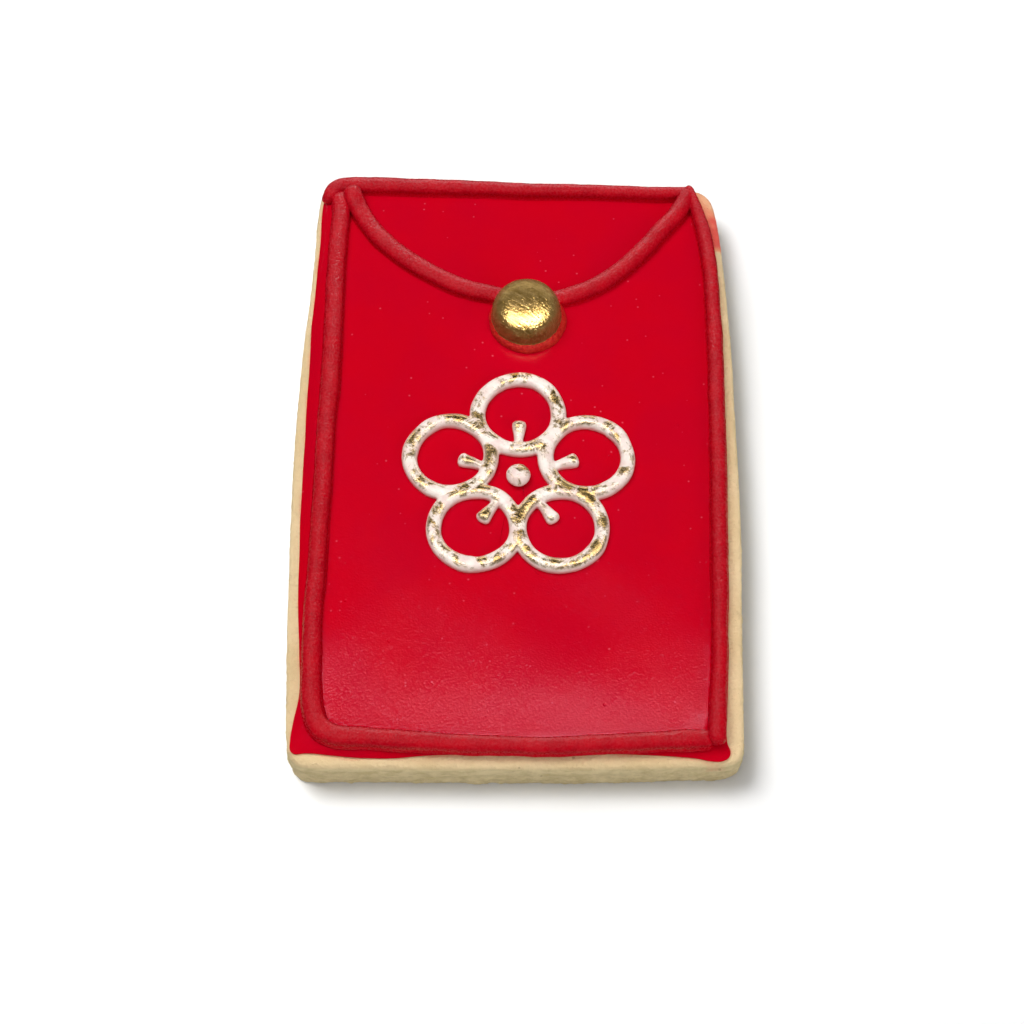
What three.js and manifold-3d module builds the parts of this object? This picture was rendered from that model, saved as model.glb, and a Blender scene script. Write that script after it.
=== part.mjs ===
// A decorated cut-out cookie in the shape of an envelope: a sheet of red icing on a pale biscuit,
// piped seams and flap, a gold button, and a plum blossom piped in white.
// Millimetres, +Z up. The origin is on the table under the middle of the cookie, +X is to the right
// and +Y runs up the cookie to the edge that the flap hangs from.
import * as THREE from 'three';
import { mergeVertices } from 'three/addons/utils/BufferGeometryUtils.js';
import Module from 'manifold-3d';

// ---------------------------------------------------------------- driving dimensions, mm

// Cookie, cut with a 65 x 96.6 mm cutter, its long sides bowed out by the oven.
const COOKIE_THICKNESS = 6.5;
const COOKIE_HALF_WIDTH = 31.3;
const COOKIE_HALF_LENGTH = 48.1;
const COOKIE_SIDE_BOW = 1.2;
const COOKIE_END_BOW = 0.2;
const COOKIE_TOP_EDGE = 1.0;
const COOKIE_CORNERS = [
  { x: -COOKIE_HALF_WIDTH, y: COOKIE_HALF_LENGTH, radius: 3.5, bow: COOKIE_SIDE_BOW },
  { x: -COOKIE_HALF_WIDTH, y: -COOKIE_HALF_LENGTH, radius: 4, bow: 0.655 },
  { x: COOKIE_HALF_WIDTH, y: -COOKIE_HALF_LENGTH + 1.1, radius: 4.6, bow: COOKIE_SIDE_BOW },
  { x: COOKIE_HALF_WIDTH, y: COOKIE_HALF_LENGTH, radius: 3.5, bow: COOKIE_END_BOW },
];

// Sheet of icing. It is laid by hand, so its edge wanders.
const ICING_THICKNESS = 1.25;
const ICING_EDGE = 0.5;
const ICING_LEFT = [[-30.4, 45.6], [-31, 28.4], [-31.1, 14], [-30.8, -13], [-30, -28.3], [-29.5, -38]];
const ICING_FOOT_LEFT = [[-30.1, -43.5], [-30, -46.2], [-29.2, -46.6], [-26.3, -46.5]];
const ICING_FOOT = [[-17.8, -47.1], [-9.2, -46.5], [0.6, -46.5], [13.5, -46.2], [22, -46.5]];
const ICING_FOOT_RIGHT = [[26.3, -47.2], [28.5, -46.7], [29, -45.7], [28.7, -44]];
const ICING_RIGHT = [[28.9, -36], [29.7, -22], [30.3, 8.6], [30.1, 26], [29.5, 39.1], [28.3, 45.2]];
const ICING_HEAD = [[26.8, 46.8], [12, 47.1], [-4, 47.5], [-20, 47.9], [-27.2, 47.9], [-29.4, 47.1]];

// Piped lines, each along a centre line through a few points.
const PIPING_HEIGHT = 1.7;
const LEFT_AND_BOTTOM_LINE = [
  [-27.6, 44.2], [-27.7, 38], [-27.7, 12.3], [-27.8, -8], [-27.95, -28], [-27.25, -40.6],
  [-26.35, -43], [-24.4, -44.3], [-20, -44.65], [-11.4, -45.2], [-0.7, -45.65], [13.5, -45.2],
  [26.6, -44.5],
];
const TOP_LINE = [
  [-29.3, 45.1], [-28.4, 46.3], [-25.9, 46.9], [-18.3, 46.9], [-10, 46.7], [0.9, 46.35], [12, 46.1],
  [26.5, 45.95],
];
const RIGHT_LINE = [
  [26.75, 45.3], [27.9, 41], [28.85, 34.5], [29.3, 20], [29.15, 8], [28.4, -20], [28, -30],
  [27.5, -37.8], [27, -45],
];
const LEFT_FLAP_LINE = [
  [-25.9, 44.7], [-24.7, 42.2], [-21, 36.7], [-17.65, 33.5], [-13.7, 30.8], [-8.6, 28.1],
  [-3.6, 26.7], [0, 26],
];
const RIGHT_FLAP_LINE = [
  [25.7, 44.7], [24.4, 42], [21.4, 38.1], [18.6, 34.55], [15.4, 31.2], [11.6, 28.35], [7.2, 26.4],
  [3, 25.5],
];
// Widths at the start and the end of each line.
const LEFT_AND_BOTTOM_WIDTHS = [2.8, 2.4];
const TOP_WIDTHS = [2.7, 2.1];
const RIGHT_WIDTHS = [1.95, 2.35];
const FLAP_WIDTHS = [2.9, 2.7];

// Gold button on the lowest point of the flap: a flattened dome on a foot that spreads.
const BUTTON_CENTRE = new THREE.Vector2(1.35, 22.35);
const BUTTON_FOOT_RADIUS = 5.8;
const BUTTON_FOOT_HEIGHT = 0.5;
const BUTTON_DOME_RADIUS = 5.2;
const BUTTON_DOME_LEVEL = 1.5;
const BUTTON_HEIGHT = 6.15;
const BUTTON_SQUARENESS = 2.7;

// Plum blossom: five petal loops, a stamen in each and a bead in the middle.
const BLOSSOM_CENTRE = new THREE.Vector2(0.2, -4.6);
const PETALS = 5;
const PETAL_DISTANCE = 9.9;
const PETAL_RADIUS = 5.9;
const PETAL_LENGTHENING = 0.07;
const PETAL_LINE_WIDTH = 2.3;
const BLOSSOM_HEIGHT = 1.4;
const STAMEN_START = 4.9;
const STAMEN_END = 9.2;
const STAMEN_WIDTHS = [1.5, 2.4];
const BEAD_RADIUS = 1.7;
const BEAD_HEIGHT = 1.8;

// Room between pieces that meet side by side.
const GAP = 0.3;
// Level of a piped line's widest place, as a share of its height.
const BELLY = 0.42;

// ---------------------------------------------------------------- fineness of the faces

const WELD = 1e-4;
const CORNER_STEPS = 12;
const EDGE_STEPS = 3;
const ICING_OUTLINE_STEPS = 120;
const LINE_SIDES = 10;
const LINE_END_RINGS = 3;
const LINE_STEP = 2.8;
const LOOP_SIDES = 8;
const LOOP_STEPS = 28;
const BUTTON_SIDES = 32;
const BUTTON_RINGS = 10;
const BEAD_SIDES = 16;
const BEAD_RINGS = 10;

// ---------------------------------------------------------------- solids

const wasm = await Module();
wasm.setup();

// The closed solid of a geometry, with the vertices that faces share merged.
function solidFrom(geometry) {
  const bare = geometry.clone();
  bare.deleteAttribute('normal');
  bare.deleteAttribute('uv');
  const merged = mergeVertices(bare, WELD);
  return new wasm.Manifold(
    new wasm.Mesh({
      numProp: 3,
      vertProperties: merged.attributes.position.array,
      triVerts: new Uint32Array(merged.index.array),
    }),
  );
}

function geometryFrom(solid) {
  const mesh = solid.getMesh();
  const geometry = new THREE.BufferGeometry();
  geometry.setAttribute('position', new THREE.BufferAttribute(mesh.vertProperties, 3));
  geometry.setIndex(new THREE.BufferAttribute(mesh.triVerts, 1));
  geometry.computeVertexNormals();
  return geometry;
}

// What is left of a solid clear of its neighbours, without the scraps that a cut leaves.
function clearOf(solid, ...neighbours) {
  const cut = neighbours.reduce((rest, neighbour) => rest.subtract(neighbour), solid);
  return cut.decompose().reduce((most, body) => (body.volume() > most.volume() ? body : most));
}

function joined(solids) {
  return solids.reduce((whole, solid) => whole.add(solid));
}

// A plate with rounded upper edges and a flat underside at z = 0.
function roundedPlate(shape, thickness, edge, curveSegments) {
  const plate = new THREE.ExtrudeGeometry(shape, {
    depth: thickness,
    bevelEnabled: true,
    bevelThickness: edge,
    bevelSize: edge,
    bevelOffset: -edge,
    bevelSegments: EDGE_STEPS,
    curveSegments,
  });
  const reach = 4 * COOKIE_HALF_LENGTH;
  const below = new THREE.BoxGeometry(reach, reach, 2 * edge);
  plate.translate(0, 0, -edge);
  below.translate(0, 0, -edge);
  return solidFrom(plate).subtract(solidFrom(below));
}

// A closed outline with rounded corners, whose sides bow outwards; corners run counter-clockwise.
function bowedOutline(corners) {
  const points = corners.map(({ x, y }) => new THREE.Vector2(x, y));
  const towards = (from, to, distance) => to.clone().sub(from).setLength(distance).add(from);
  const outline = new THREE.Shape();
  corners.forEach(({ radius, bow }, i) => {
    const next = (i + 1) % corners.length;
    const afterNext = (i + 2) % corners.length;
    const start = towards(points[i], points[next], radius);
    const end = towards(points[next], points[i], corners[next].radius);
    const leaving = towards(points[next], points[afterNext], corners[next].radius);
    const side = end.clone().sub(start).normalize();
    const middle = start.clone().add(end).multiplyScalar(0.5);
    if (i === 0) outline.moveTo(start.x, start.y);
    outline.quadraticCurveTo(middle.x + 2 * bow * side.y, middle.y - 2 * bow * side.x, end.x, end.y);
    outline.quadraticCurveTo(points[next].x, points[next].y, leaving.x, leaving.y);
  });
  return outline;
}

// A smooth curve in the plane through a few points.
function smoothLine(points, closed = false) {
  return new THREE.CatmullRomCurve3(
    points.map(([x, y]) => new THREE.Vector3(x, y, 0)),
    closed,
    'centripetal',
  );
}

// Height over the foot of a piped line, whose round section rests on a flat foot.
function pipedHeight(acrossUp, height) {
  const belly = BELLY * height;
  return Math.max(0, belly + acrossUp * (height - belly));
}

// A line of piped icing with round ends: a capsule bent along a curve, its width changing evenly.
function pipedLine(curve, [startWidth, endWidth], height, grow = 0) {
  const steps = Math.ceil(curve.getLength() / LINE_STEP);
  const line = new THREE.CapsuleGeometry(1, 2, LINE_END_RINGS, LINE_SIDES, steps);
  const positions = line.getAttribute('position');
  const place = new THREE.Vector3();
  for (let i = 0; i < positions.count; i++) {
    place.fromBufferAttribute(positions, i);
    const straight = THREE.MathUtils.clamp(place.y, -1, 1);
    const along = (straight + 1) / 2;
    const centre = curve.getPointAt(along);
    const heading = curve.getTangentAt(along);
    const half = THREE.MathUtils.lerp(startWidth, endWidth, along) / 2 + grow;
    const ahead = (place.y - straight) * half;
    const aside = place.x * half;
    positions.setXYZ(
      i,
      centre.x + heading.x * ahead + heading.y * aside,
      centre.y + heading.y * ahead - heading.x * aside,
      pipedHeight(place.z, height + grow),
    );
  }
  return solidFrom(line);
}

// A closed loop of piped icing: a torus one unit across its tube, whose radius follows its angle.
function pipedLoop(centre, radiusAt, width, height) {
  const halfTube = 0.5;
  const loop = new THREE.TorusGeometry(1, halfTube, LOOP_SIDES, LOOP_STEPS);
  const positions = loop.getAttribute('position');
  for (let i = 0; i < positions.count; i++) {
    const x = positions.getX(i);
    const y = positions.getY(i);
    const angle = Math.atan2(y, x);
    const across = (Math.hypot(x, y) - 1) * width;
    const radius = radiusAt(angle) + across;
    const up = positions.getZ(i) / halfTube;
    positions.setXYZ(
      i,
      centre.x + radius * Math.cos(angle),
      centre.y + radius * Math.sin(angle),
      pipedHeight(up, height),
    );
  }
  return solidFrom(loop);
}

// ---------------------------------------------------------------- pieces

function cookie() {
  return roundedPlate(bowedOutline(COOKIE_CORNERS), COOKIE_THICKNESS, COOKIE_TOP_EDGE, CORNER_STEPS);
}

function icingSheet() {
  const edge = smoothLine(
    [
      ...ICING_LEFT,
      ...ICING_FOOT_LEFT,
      ...ICING_FOOT,
      ...ICING_FOOT_RIGHT,
      ...ICING_RIGHT,
      ...ICING_HEAD,
    ],
    true,
  );
  const outline = edge.getPoints(ICING_OUTLINE_STEPS).map(({ x, y }) => new THREE.Vector2(x, y));
  return roundedPlate(new THREE.Shape(outline), ICING_THICKNESS, ICING_EDGE, 1);
}

// A flattened dome over a spreading foot.
function button(grow = 0) {
  const profile = [
    new THREE.Vector2(0, 0),
    new THREE.Vector2(BUTTON_FOOT_RADIUS + grow, 0),
    new THREE.Vector2(BUTTON_FOOT_RADIUS + grow, BUTTON_FOOT_HEIGHT),
  ];
  for (let k = 0; k <= BUTTON_RINGS; k++) {
    const turn = (k / BUTTON_RINGS) * (Math.PI / 2);
    const out = k === BUTTON_RINGS ? 0 : Math.cos(turn) ** (2 / BUTTON_SQUARENESS);
    const up = Math.sin(turn) ** (2 / BUTTON_SQUARENESS);
    profile.push(
      new THREE.Vector2(
        out * (BUTTON_DOME_RADIUS + grow),
        BUTTON_DOME_LEVEL + up * (BUTTON_HEIGHT + grow - BUTTON_DOME_LEVEL),
      ),
    );
  }
  const dome = new THREE.LatheGeometry(profile, BUTTON_SIDES);
  dome.rotateX(Math.PI / 2);
  dome.translate(BUTTON_CENTRE.x, BUTTON_CENTRE.y, 0);
  return solidFrom(dome);
}

function blossom() {
  const strokes = [];
  for (let k = 0; k < PETALS; k++) {
    const outwards = Math.PI / 2 + (2 * Math.PI * k) / PETALS;
    const ray = new THREE.Vector2(Math.cos(outwards), Math.sin(outwards));
    const petalCentre = ray.clone().multiplyScalar(PETAL_DISTANCE).add(BLOSSOM_CENTRE);
    const petalRadius = (angle) =>
      PETAL_RADIUS * (1 + PETAL_LENGTHENING * Math.cos(angle - outwards));
    const [from, to] = [STAMEN_START, STAMEN_END].map((distance) =>
      ray.clone().multiplyScalar(distance).add(BLOSSOM_CENTRE).toArray(),
    );
    strokes.push(pipedLoop(petalCentre, petalRadius, PETAL_LINE_WIDTH, BLOSSOM_HEIGHT));
    strokes.push(pipedLine(smoothLine([from, to]), STAMEN_WIDTHS, BLOSSOM_HEIGHT));
  }
  return joined(strokes);
}

function blossomBead() {
  const bead = new THREE.SphereGeometry(1, BEAD_SIDES, BEAD_RINGS);
  bead.rotateX(Math.PI / 2);
  const positions = bead.getAttribute('position');
  for (let i = 0; i < positions.count; i++) {
    positions.setXYZ(
      i,
      BLOSSOM_CENTRE.x + BEAD_RADIUS * positions.getX(i),
      BLOSSOM_CENTRE.y + BEAD_RADIUS * positions.getY(i),
      pipedHeight(positions.getZ(i), BEAD_HEIGHT),
    );
  }
  return solidFrom(bead);
}

// ---------------------------------------------------------------- the piped lines, cut clear of each other

const leftAndBottomSeam = { curve: smoothLine(LEFT_AND_BOTTOM_LINE), widths: LEFT_AND_BOTTOM_WIDTHS };
const topSeam = { curve: smoothLine(TOP_LINE), widths: TOP_WIDTHS };
const rightSeam = { curve: smoothLine(RIGHT_LINE), widths: RIGHT_WIDTHS };
const leftFlapEdge = { curve: smoothLine(LEFT_FLAP_LINE), widths: FLAP_WIDTHS };
const rightFlapEdge = { curve: smoothLine(RIGHT_FLAP_LINE), widths: FLAP_WIDTHS };

function piped({ curve, widths }) {
  return pipedLine(curve, widths, PIPING_HEIGHT);
}

// The room that a line takes up, with the gap that its neighbours keep from it.
function roomFor({ curve, widths }) {
  return pipedLine(curve, widths, PIPING_HEIGHT, GAP);
}

// The flap lies over the corners, the top seam over the left one and the right seam over the bottom one.
const flapRoom = joined([roomFor(leftFlapEdge), roomFor(rightFlapEdge)]);
const buttonRoom = button(GAP);
const flapLeft = clearOf(piped(leftFlapEdge), buttonRoom);
const flapRight = clearOf(piped(rightFlapEdge), buttonRoom);
const rimTop = clearOf(piped(topSeam), flapRoom);
const rimRight = clearOf(piped(rightSeam), flapRoom, roomFor(topSeam));
const rimLeftBottom = clearOf(
  piped(leftAndBottomSeam),
  flapRoom,
  roomFor(topSeam),
  roomFor(rightSeam),
);

// ---------------------------------------------------------------- materials

const finishes = {
  biscuit: { color: 0xdcc596, roughness: 0.92, metalness: 0 },
  icing: { color: 0xc8001e, roughness: 0.42, metalness: 0 },
  piping: { color: 0xb5202b, roughness: 0.6, metalness: 0 },
  gold: { color: 0xa88a3e, roughness: 0.28, metalness: 1 },
  whiteIcing: { color: 0xefe6d6, roughness: 0.35, metalness: 0 },
};

function piece(name, solid, finish, level) {
  const mesh = new THREE.Mesh(geometryFrom(solid), new THREE.MeshStandardMaterial(finishes[finish]));
  mesh.name = name;
  mesh.position.z = level;
  return mesh;
}

// ---------------------------------------------------------------- the cookie

const onTable = 0;
const onCookie = COOKIE_THICKNESS;
const onIcing = COOKIE_THICKNESS + ICING_THICKNESS;

const decoratedCookie = new THREE.Group();
decoratedCookie.add(
  piece('cookie', cookie(), 'biscuit', onTable),
  piece('icing', icingSheet(), 'icing', onCookie),
  piece('rim_left_bottom', rimLeftBottom, 'piping', onIcing),
  piece('rim_top', rimTop, 'piping', onIcing),
  piece('rim_right', rimRight, 'piping', onIcing),
  piece('flap_left', flapLeft, 'piping', onIcing),
  piece('flap_right', flapRight, 'piping', onIcing),
  piece('gold_button', button(), 'gold', onIcing),
  piece('blossom', blossom(), 'whiteIcing', onIcing),
  piece('blossom_bead', blossomBead(), 'whiteIcing', onIcing),
);

export default decoratedCookie;
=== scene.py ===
"""A cut-out cookie iced as a red envelope, with piped seams and flap, a gold button and a plum blossom.

The pieces are modelled in millimetres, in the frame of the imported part, and brought to metres at the end.
"""

import math

import bmesh
import bpy
import numpy as np
from bpy.props import FloatProperty, FloatVectorProperty, PointerProperty
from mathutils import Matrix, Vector, noise


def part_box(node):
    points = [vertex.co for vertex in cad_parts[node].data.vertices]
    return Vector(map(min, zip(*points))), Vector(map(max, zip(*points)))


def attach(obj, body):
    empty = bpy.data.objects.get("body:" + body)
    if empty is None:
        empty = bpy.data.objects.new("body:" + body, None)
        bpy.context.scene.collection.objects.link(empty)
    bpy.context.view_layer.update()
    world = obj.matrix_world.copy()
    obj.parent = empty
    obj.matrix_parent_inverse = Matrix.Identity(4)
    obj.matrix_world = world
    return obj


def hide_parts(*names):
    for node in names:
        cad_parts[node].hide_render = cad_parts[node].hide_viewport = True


bl_info = {
    "name": "Envelope cookie",
    "version": (1, 0, 0),
    "blender": (4, 5, 0),
    "location": "View3D > Sidebar > Cookie",
    "description": "Models a cookie iced as a red envelope, with a gold button and a piped plum blossom",
    "category": "Object",
}

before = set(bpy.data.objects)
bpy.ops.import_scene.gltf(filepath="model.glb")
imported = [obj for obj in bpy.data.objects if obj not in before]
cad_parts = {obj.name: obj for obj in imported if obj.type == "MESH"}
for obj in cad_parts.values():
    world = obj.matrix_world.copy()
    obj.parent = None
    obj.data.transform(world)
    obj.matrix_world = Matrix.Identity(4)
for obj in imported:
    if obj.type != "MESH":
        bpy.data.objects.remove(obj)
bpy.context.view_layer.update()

MM = 0.001


def top_of(node):
    """Level of a node's highest place, in mm."""
    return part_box(node)[1][2] / MM


DOUGH_TOP = top_of("cookie")
ICING_TOP = top_of("icing")
BEAD_TOP = top_of("blossom_bead")


# ------------------------------------------------------------------ shapes of the pieces, mm

# Outline of the baked dough, counter-clockwise.
DOUGH_OUTLINE = (
    (-30.9, 46.6), (-31.4, 42.5), (-31.5, 36.8), (-31.75, 27.5), (-32.2, 18.4), (-32.4, 10.0),
    (-32.45, -2.5), (-32.2, -13.4), (-31.75, -26.5), (-31.05, -39.0), (-30.75, -44.2), (-30.3, -46.4),
    (-29.2, -47.7), (-27.4, -48.15), (-22.0, -48.2), (-12.0, -48.2), (0.0, -48.1), (10.0, -48.0),
    (18.0, -47.8), (24.7, -47.5), (28.0, -47.3), (29.6, -46.9), (30.5, -45.9), (30.85, -44.2),
    (31.0, -39.5), (31.4, -27.7), (31.9, -15.2), (32.05, -3.0), (31.95, 8.4), (32.0, 16.6),
    (31.8, 24.9), (31.5, 32.6), (31.0, 39.9), (30.55, 43.6), (29.9, 46.3), (28.6, 47.7),
    (26.6, 48.15), (18.0, 48.1), (4.0, 48.2), (-10.0, 48.2), (-22.0, 48.3), (-28.0, 48.2),
    (-29.8, 47.7),
)

# Outline of the sheet of icing, counter-clockwise.
ICING_OUTLINE = (
    (-30.4, 45.6), (-30.7, 38.0), (-31.0, 28.4), (-31.1, 14.0), (-31.0, 0.0), (-30.8, -13.0),
    (-30.4, -22.0), (-30.0, -28.3), (-29.5, -34.0), (-29.45, -38.5), (-29.9, -42.0), (-30.15, -44.6),
    (-30.1, -46.1), (-29.5, -46.65), (-28.2, -46.55), (-26.2, -46.6), (-24.2, -46.8), (-21.1, -47.1),
    (-17.8, -47.15), (-13.0, -46.8), (-9.2, -46.5), (-4.0, -46.45), (0.6, -46.5), (7.0, -46.35),
    (13.5, -46.25), (18.0, -46.4), (22.0, -46.55), (24.3, -46.8), (26.2, -47.2), (27.8, -47.15),
    (28.7, -46.6), (28.95, -45.75), (28.55, -44.4), (28.75, -40.0), (28.95, -36.0), (29.4, -28.0),
    (29.7, -22.0), (30.1, -6.0), (30.3, 8.6), (30.2, 18.0), (30.1, 26.0), (29.85, 34.0),
    (29.5, 39.1), (28.6, 44.2), (27.6, 46.4), (25.5, 47.0), (12.0, 47.2), (-4.0, 47.5),
    (-20.0, 47.9), (-27.2, 47.9), (-29.2, 47.3),
)

# Half the length of the line down the middle that the rings of a flat piece close on.
SPINE_REACH = 17.0

# The dough's profile: its rounded foot, as (distance in, level); the rows of its side; its soft upper edge.
DOUGH_FOOT = ((0.4, 0.0), (0.22, 0.03), (0.1, 0.12), (0.02, 0.28))
DOUGH_SIDE_START = 0.45
DOUGH_SIDE_STEP = 0.23
DOUGH_SIDE_ROWS = 23
DOUGH_EDGE_RADIUS = 0.75

# The sheet of icing: how deep it is sunk in the dough, its low lip, the margin that slopes up from the lip to
# the top, and how uneven the top is.
ICING_SINK = 0.15
ICING_LIP = 0.35
ICING_MARGIN = 2.1
ICING_UNEVENNESS = 0.13

# The lower corners of the sheet run out thin: how far in from a corner, and what share of the height is gone.
LOW_CORNERS = ((-30.1, -46.4), (28.9, -46.6))
CORNER_REACH = 6.0
CORNER_DROOP = 0.95

# Piped lines: x, y, width, height over the icing and lift over what the line crosses.
LEFT_AND_BOTTOM_LINE = (
    (-28.35, 46.1, 2.3, 1.0, 0.0), (-27.8, 44.7, 2.65, 1.45, 0.0), (-27.5, 42.6, 2.75, 1.65, 0.0),
    (-27.65, 38.0, 2.7, 1.65, 0.0), (-27.75, 31.0, 2.65, 1.65, 0.0),
    (-27.72, 24.2, 2.65, 1.65, 0.0), (-27.65, 12.3, 2.65, 1.7, 0.0), (-27.8, 2.0, 2.55, 1.7, 0.0),
    (-27.8, -8.0, 2.45, 1.7, 0.0), (-27.85, -18.0, 2.4, 1.7, 0.0), (-27.95, -28.0, 2.5, 1.7, 0.0),
    (-27.7, -36.0, 2.6, 1.7, 0.0), (-27.25, -40.6, 2.75, 1.75, 0.0), (-26.35, -43.0, 2.85, 1.75, 0.0),
    (-24.4, -44.3, 2.8, 1.7, 0.0), (-20.0, -44.65, 2.7, 1.7, 0.0), (-11.4, -45.2, 2.5, 1.7, 0.0),
    (-0.7, -45.65, 2.3, 1.65, 0.0), (7.0, -45.55, 2.3, 1.65, 0.0), (13.5, -45.2, 2.35, 1.65, 0.0),
    (19.0, -44.9, 2.45, 1.7, 0.0), (23.5, -44.65, 2.6, 1.7, 0.0), (26.6, -44.5, 2.4, 1.5, 0.0),
)
TOP_LINE = (
    (-29.5, 43.9, 1.8, 0.95, -0.05), (-29.5, 44.9, 2.2, 1.35, 0.0), (-29.05, 45.85, 2.5, 1.6, 0.0),
    (-28.4, 46.45, 2.7, 1.7, 0.0), (-27.4, 46.85, 2.75, 1.75, 0.0), (-25.9, 47.05, 2.75, 1.75, 0.0),
    (-23.0, 47.1, 2.7, 1.7, 0.0), (-18.3, 47.0, 2.65, 1.7, 0.0), (-10.0, 46.7, 2.5, 1.7, 0.0),
    (0.9, 46.35, 2.3, 1.7, 0.0), (12.0, 46.12, 2.2, 1.65, 0.0), (22.0, 45.87, 2.15, 1.65, 0.0),
    (26.7, 45.95, 2.0, 1.6, 0.0),
)
RIGHT_LINE = (
    (26.2, 47.15, 0.9, 1.35, 0.15), (26.45, 46.4, 1.5, 1.55, 0.1), (26.8, 45.2, 1.75, 1.6, 0.05),
    (27.4, 43.2, 1.9, 1.65, 0.0),
    (27.9, 41.0, 2.05, 1.65, 0.0), (28.45, 38.2, 2.15, 1.65, 0.0), (28.85, 34.5, 2.15, 1.65, 0.0),
    (29.15, 30.4, 2.1, 1.65, 0.0), (29.3, 20.0, 2.15, 1.7, 0.0), (29.15, 8.0, 2.2, 1.7, 0.0),
    (28.8, -8.0, 2.2, 1.7, 0.0), (28.4, -20.0, 2.15, 1.7, 0.0), (28.0, -30.0, 2.1, 1.7, 0.0),
    (27.5, -37.8, 2.2, 1.7, 0.0), (27.2, -41.5, 2.4, 1.75, 0.25), (26.95, -45.5, 2.35, 1.7, 0.45),
)
LEFT_FLAP_EDGE = (
    (-26.35, 46.1, 2.75, 1.6, 1.1), (-25.7, 44.3, 2.85, 1.7, 0.75), (-24.7, 42.2, 2.9, 1.75, 0.2),
    (-23.35, 39.9, 2.9, 1.75, 0.0), (-21.0, 36.7, 2.9, 1.75, 0.0), (-17.65, 33.5, 2.9, 1.7, 0.0),
    (-13.7, 30.8, 2.85, 1.65, 0.0), (-8.6, 28.1, 2.8, 1.6, 0.0), (-3.6, 26.7, 2.65, 1.55, 0.0),
    (-0.8, 26.1, 2.3, 1.4, 0.0),
)
RIGHT_FLAP_EDGE = (
    (26.3, 46.6, 2.3, 1.7, 0.2), (25.75, 44.5, 2.7, 1.75, 0.1), (24.4, 42.0, 2.75, 1.75, 0.0),
    (21.4, 38.1, 2.8, 1.75, 0.0), (18.6, 34.55, 2.8, 1.7, 0.0), (15.4, 31.2, 2.8, 1.7, 0.0),
    (11.6, 28.35, 2.8, 1.65, 0.0), (7.2, 26.4, 2.7, 1.55, 0.0), (4.2, 25.6, 2.3, 1.4, 0.0),
)
PIPING_LINES = (LEFT_AND_BOTTOM_LINE, TOP_LINE, RIGHT_LINE, LEFT_FLAP_EDGE, RIGHT_FLAP_EDGE)

# How square a piped line's crown is, where 2 is an ellipse; where its belly is, as a share of its height;
# how far and how high its foot's fillet spreads; how deep its underside is sunk.
CROWN_SQUARENESS = 2.15
BELLY_SHARE = 0.42
FILLET = 0.17
FILLET_RISE = 0.4
PIPING_SINK = 0.6

# The gold button: a foot that spreads, as (radius, level), and a flattened dome that leans back a little.
BUTTON_FOOT_CENTRE = (1.45, 22.33)
BUTTON_FOOT_PROFILE = (
    (0.0, -0.2), (3.5, -0.2), (5.2, -0.2), (5.6, -0.15), (5.78, 0.05),
    (5.8, 0.3), (5.74, 0.6), (5.62, 0.95), (5.42, 1.25),
)
BUTTON_DOME_CENTRE = (1.2, 22.35)
BUTTON_DOME_RADIUS = 5.2
BUTTON_DOME_LEVEL = 1.5
BUTTON_DOME_HEIGHT = 6.15
BUTTON_SQUARENESS = 2.7
BUTTON_LEAN = math.radians(1.5)

# Plum blossom.
BLOSSOM_CENTRE = (0.2, -4.6)
PETALS = 5
PETAL_DISTANCE = 9.9
PETAL_RADIUS = 5.9
PETAL_HEIGHT = 1.3
STAMEN_START = 4.9
STAMEN_END = 9.2
BEAD_RADIUS = 1.75
BLOSSOM_SINK = 0.3
BLOSSOM_FILLET = 0.05

# Along a stamen: share of its length, width, height.
STAMEN_STATIONS = ((0.0, 1.2, 0.9), (0.35, 1.4, 1.1), (0.75, 2.0, 1.3), (1.0, 2.5, 1.4))


# ------------------------------------------------------------------ curves and surfaces


def curve_through(points, count, closed=False):
    """Evenly spaced places on a smooth curve through a few points, each of any number of values."""
    knots = np.array(points, float)
    if closed:
        knots = np.vstack([knots[-1:], knots, knots[:2]])
    else:
        knots = np.vstack([2 * knots[:1] - knots[1:2], knots, 2 * knots[-1:] - knots[-2:-1]])
    dense = []
    fine = 40
    for p0, p1, p2, p3 in zip(knots, knots[1:], knots[2:], knots[3:]):
        t0 = 0.0
        t1 = t0 + math.sqrt(np.linalg.norm((p1 - p0)[:2]))
        t2 = t1 + math.sqrt(np.linalg.norm((p2 - p1)[:2]))
        t3 = t2 + math.sqrt(np.linalg.norm((p3 - p2)[:2]))
        for t in np.linspace(t1, t2, fine, endpoint=False):
            a1 = (p0 * (t1 - t) + p1 * (t - t0)) / (t1 - t0)
            a2 = (p1 * (t2 - t) + p2 * (t - t1)) / (t2 - t1)
            a3 = (p2 * (t3 - t) + p3 * (t - t2)) / (t3 - t2)
            b1 = (a1 * (t2 - t) + a2 * (t - t0)) / (t2 - t0)
            b2 = (a2 * (t3 - t) + a3 * (t - t1)) / (t3 - t1)
            dense.append((b1 * (t2 - t) + b2 * (t - t1)) / (t2 - t1))
    dense.append(knots[-2])
    dense = np.array(dense)
    run = np.concatenate([[0.0], np.cumsum(np.linalg.norm(np.diff(dense[:, :2], axis=0), axis=1))])
    places = np.linspace(0.0, run[-1], count, endpoint=not closed)
    return np.stack([np.interp(places, run, column) for column in dense.T], axis=1)


def headings(line, closed=False):
    """Unit directions along a line of places in the plane."""
    if closed:
        steps = np.roll(line[:, :2], -1, axis=0) - np.roll(line[:, :2], 1, axis=0)
    else:
        steps = np.gradient(line[:, :2], axis=0)
    return steps / np.linalg.norm(steps, axis=1, keepdims=True)


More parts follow.
